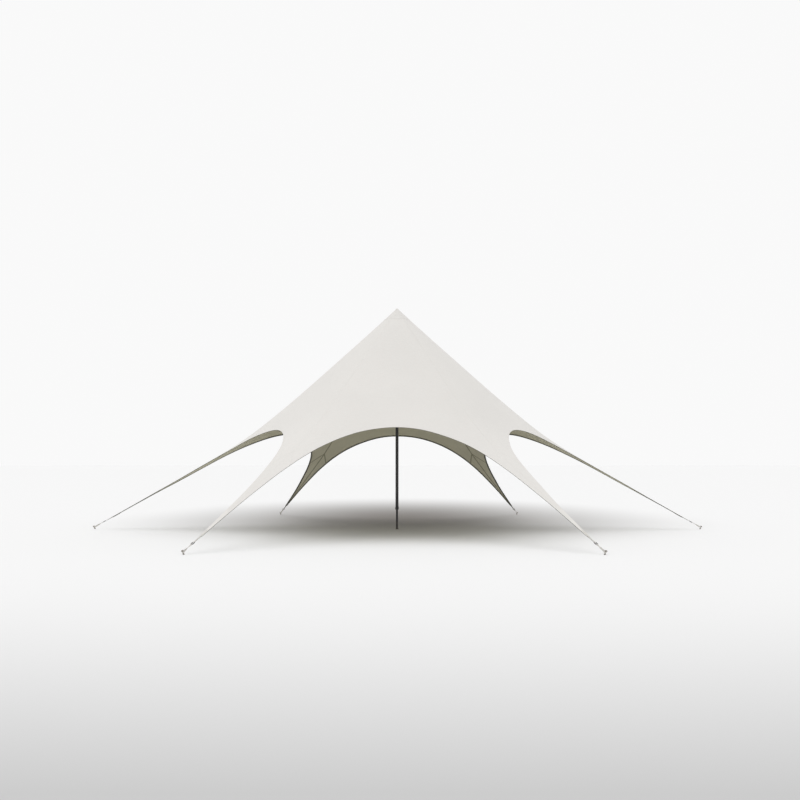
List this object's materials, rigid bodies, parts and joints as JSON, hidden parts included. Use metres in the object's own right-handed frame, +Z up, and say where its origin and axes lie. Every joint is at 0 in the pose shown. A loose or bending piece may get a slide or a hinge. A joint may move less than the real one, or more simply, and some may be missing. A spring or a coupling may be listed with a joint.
{
  "type": "star canopy tent",
  "caption": "Open event canopy: a cloth star with one peak on a centre pole, its arms strapped to ground pegs, with an arched entrance between each two arms.",
  "frame": {"origin": "middle of the underside of the pole's foot, on the ground", "axes": "+Z up along the pole, +X along arm 1; the other arms follow every 60 degrees, anticlockwise seen from above"},
  "size_m": [12.0626, 10.4516, 4.4066],
  "materials": {
    "canopy_cloth": "matte coated polyester, off-white outside and olive grey underneath",
    "cap_cloth": "matte doubled cloth, a little greyer than the canopy",
    "arch_webbing": "dark woven webbing sewn under the edge",
    "corner_tape": "pale woven tape",
    "link_steel": "dark steel wire",
    "peg_steel": "dark forged steel",
    "pole_paint": "near-black satin paint on aluminium tube",
    "pole_fitting": "dark castings"
  },
  "bodies": {
    "root": {"canopy_gore_1": "canopy_cloth", "canopy_gore_2": "canopy_cloth", "canopy_gore_3": "canopy_cloth", "canopy_gore_4": "canopy_cloth", "canopy_gore_5": "canopy_cloth", "canopy_gore_6": "canopy_cloth", "arm_panel_1": "canopy_cloth", "arm_panel_2": "canopy_cloth", "arm_panel_3": "canopy_cloth", "arm_panel_4": "canopy_cloth", "arm_panel_5": "canopy_cloth", "arm_panel_6": "canopy_cloth", "arch_webbing_1": "arch_webbing", "arch_webbing_2": "arch_webbing", "arch_webbing_3": "arch_webbing", "arch_webbing_4": "arch_webbing", "arch_webbing_5": "arch_webbing", "arch_webbing_6": "arch_webbing", "corner_tongue_1": "corner_tape", "corner_tongue_2": "corner_tape", "corner_tongue_3": "corner_tape", "corner_tongue_4": "corner_tape", "corner_tongue_5": "corner_tape", "corner_tongue_6": "corner_tape", "corner_link_1": "link_steel", "corner_link_2": "link_steel", "corner_link_3": "link_steel", "corner_link_4": "link_steel", "corner_link_5": "link_steel", "corner_link_6": "link_steel", "ground_strap_1": "corner_tape", "ground_strap_2": "corner_tape", "ground_strap_3": "corner_tape", "ground_strap_4": "corner_tape", "ground_strap_5": "corner_tape", "ground_strap_6": "corner_tape", "peg_1": "peg_steel", "peg_2": "peg_steel", "peg_3": "peg_steel", "peg_4": "peg_steel", "peg_5": "peg_steel", "peg_6": "peg_steel", "peak_cap": "cap_cloth", "pole_head": "pole_fitting", "pole_upper": "pole_paint", "pole_collar": "pole_fitting", "pole_lower": "pole_paint", "pole_foot": "pole_fitting"}
  },
  "joints": []
}
